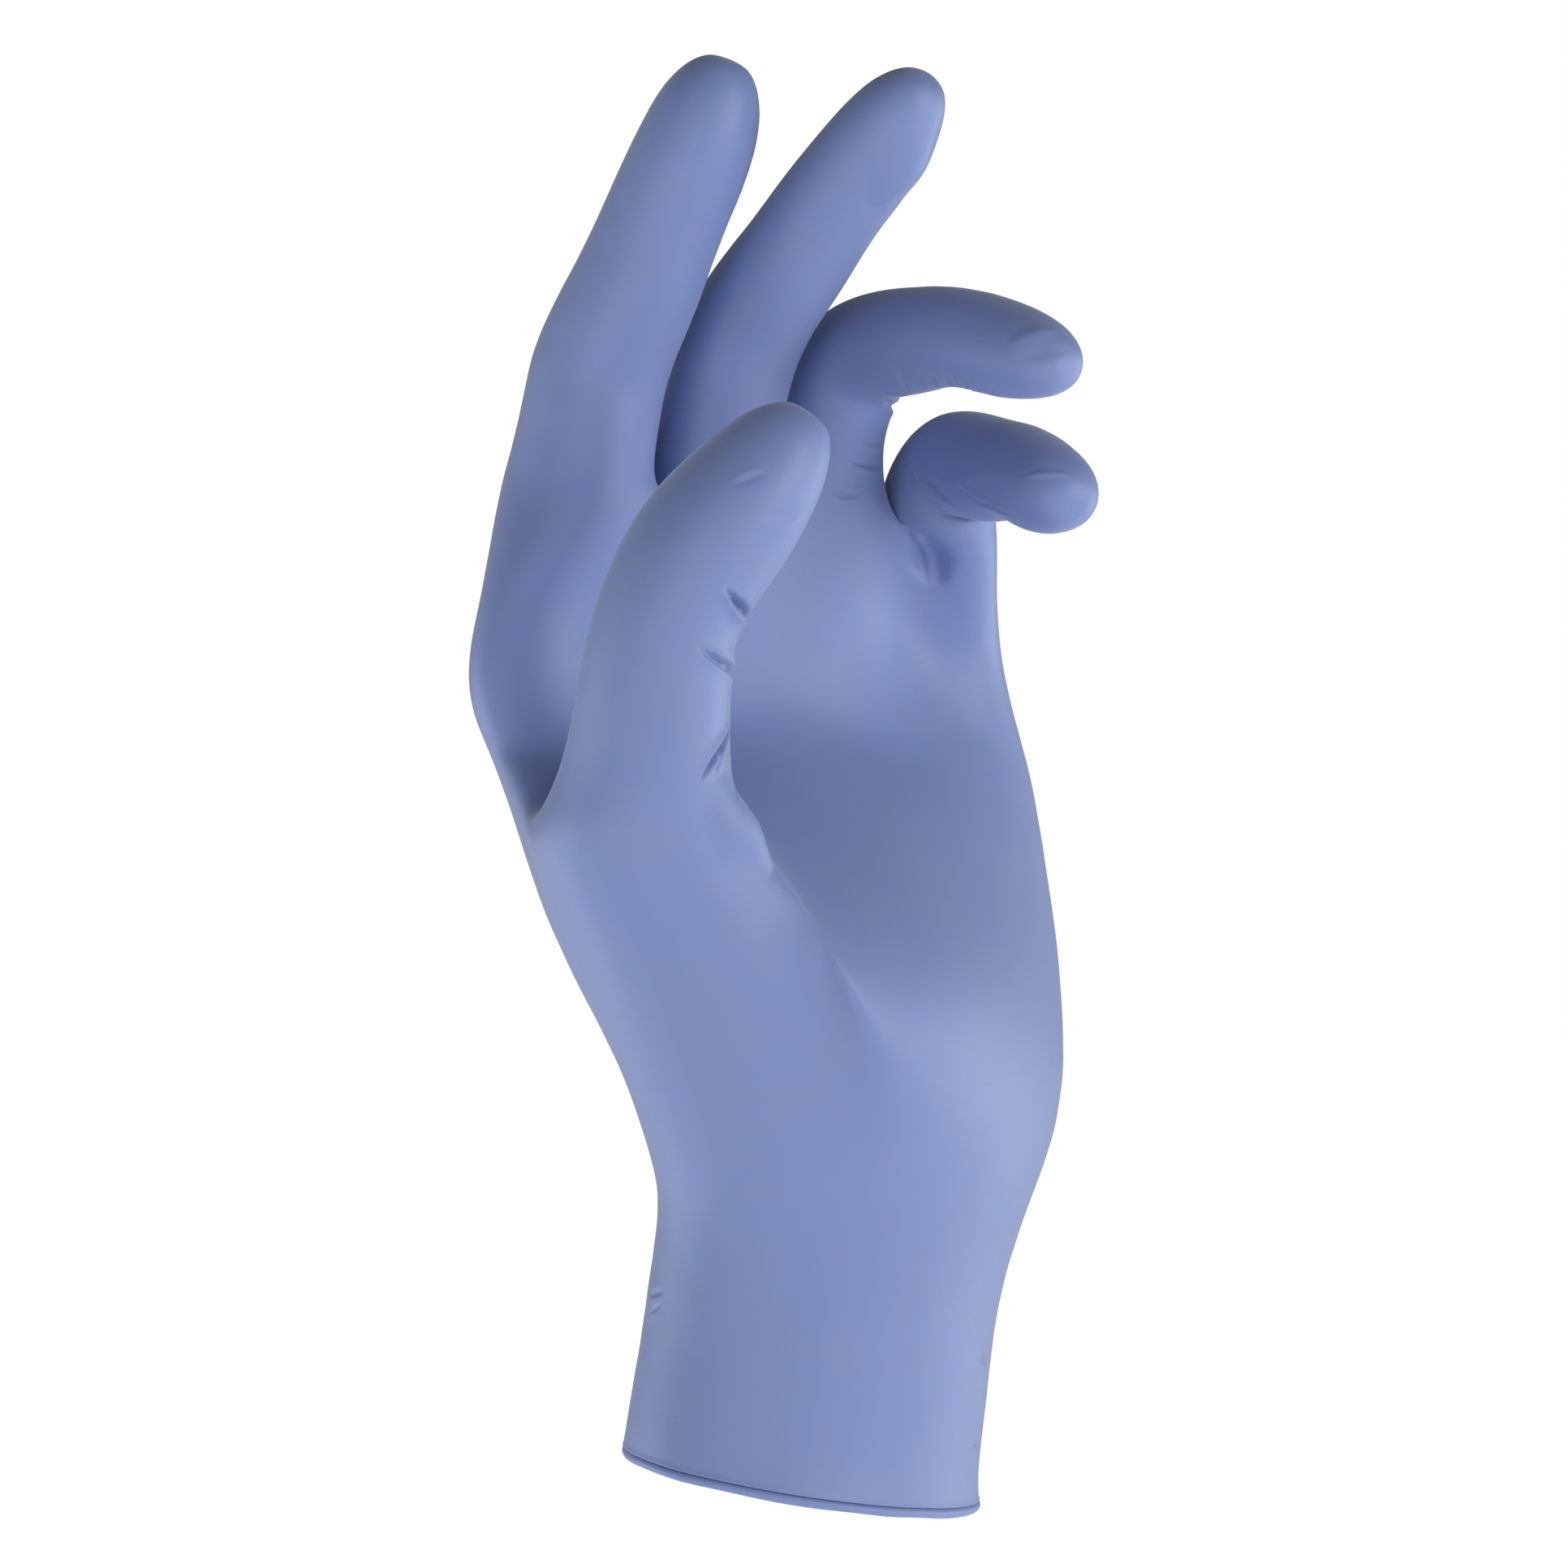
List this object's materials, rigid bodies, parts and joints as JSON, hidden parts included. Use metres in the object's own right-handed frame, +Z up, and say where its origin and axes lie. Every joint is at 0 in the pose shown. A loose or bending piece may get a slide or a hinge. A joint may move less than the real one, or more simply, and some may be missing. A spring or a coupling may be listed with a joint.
{
  "type": "nitrile exam glove",
  "caption": "Thin dipped nitrile glove in the pose of a left hand, fingers bent, hollow throughout, with a short slanted cuff and a rolled bead.",
  "frame": {"origin": "middle of the cuff's opening", "axes": "+Z up the arm to the fingertips, +X to the right of someone who looks at the palm, +Y away from them"},
  "size_m": [0.0911, 0.0981, 0.2107],
  "materials": {
    "nitrile": "matt dipped nitrile film"
  },
  "bodies": {
    "root": {"glove_film": "nitrile"}
  },
  "joints": []
}
